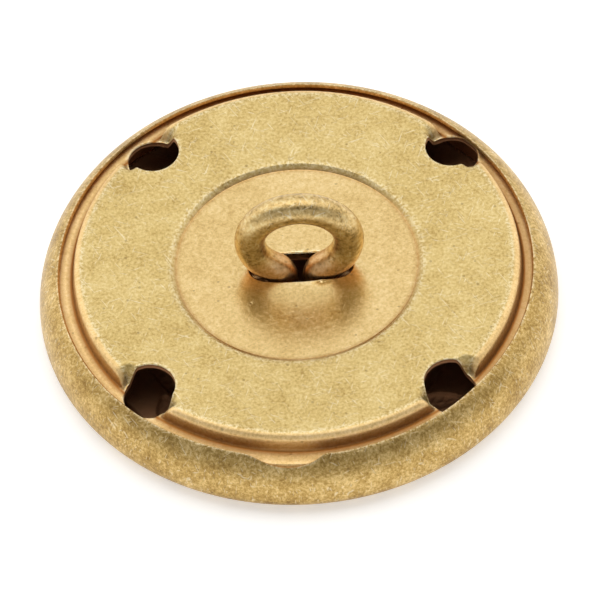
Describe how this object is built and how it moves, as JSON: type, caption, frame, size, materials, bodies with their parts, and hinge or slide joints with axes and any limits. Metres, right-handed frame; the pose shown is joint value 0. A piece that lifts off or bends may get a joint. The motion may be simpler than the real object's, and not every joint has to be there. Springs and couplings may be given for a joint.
{
  "type": "shank button",
  "caption": "Round metal sew-on button: rolled face shell, vented back plate with a shallow recess, and a loose wire shank loop.",
  "frame": {"origin": "on the button's axis at the level of the face's border, the surface that the button lies on when face down", "axes": "+Z along the button's axis, from the face towards the shank; X along the plane of the wire loop; Y through the loop's eye"},
  "size_m": [0.0254, 0.0254, 0.0088],
  "materials": {
    "shell_brass": "tumbled antique brass, satin, worn bright at the edges",
    "plate_brass": "tumbled antique brass, smoother and glossier in the recess and on the flange",
    "wire_brass": "speckled antique brass wire, satin"
  },
  "bodies": {
    "case": {"face_shell": "shell_brass", "back_plate": "plate_brass"},
    "loop": {"shank_loop": "wire_brass"}
  },
  "joints": [
    {"name": "shank_tilt", "type": "hinge", "parent": "case", "child": "loop", "pos_m": [0.00019, -0.00016, 0.00241], "axis": [1, 0, 0], "range_deg": [-5, 5]}
  ]
}
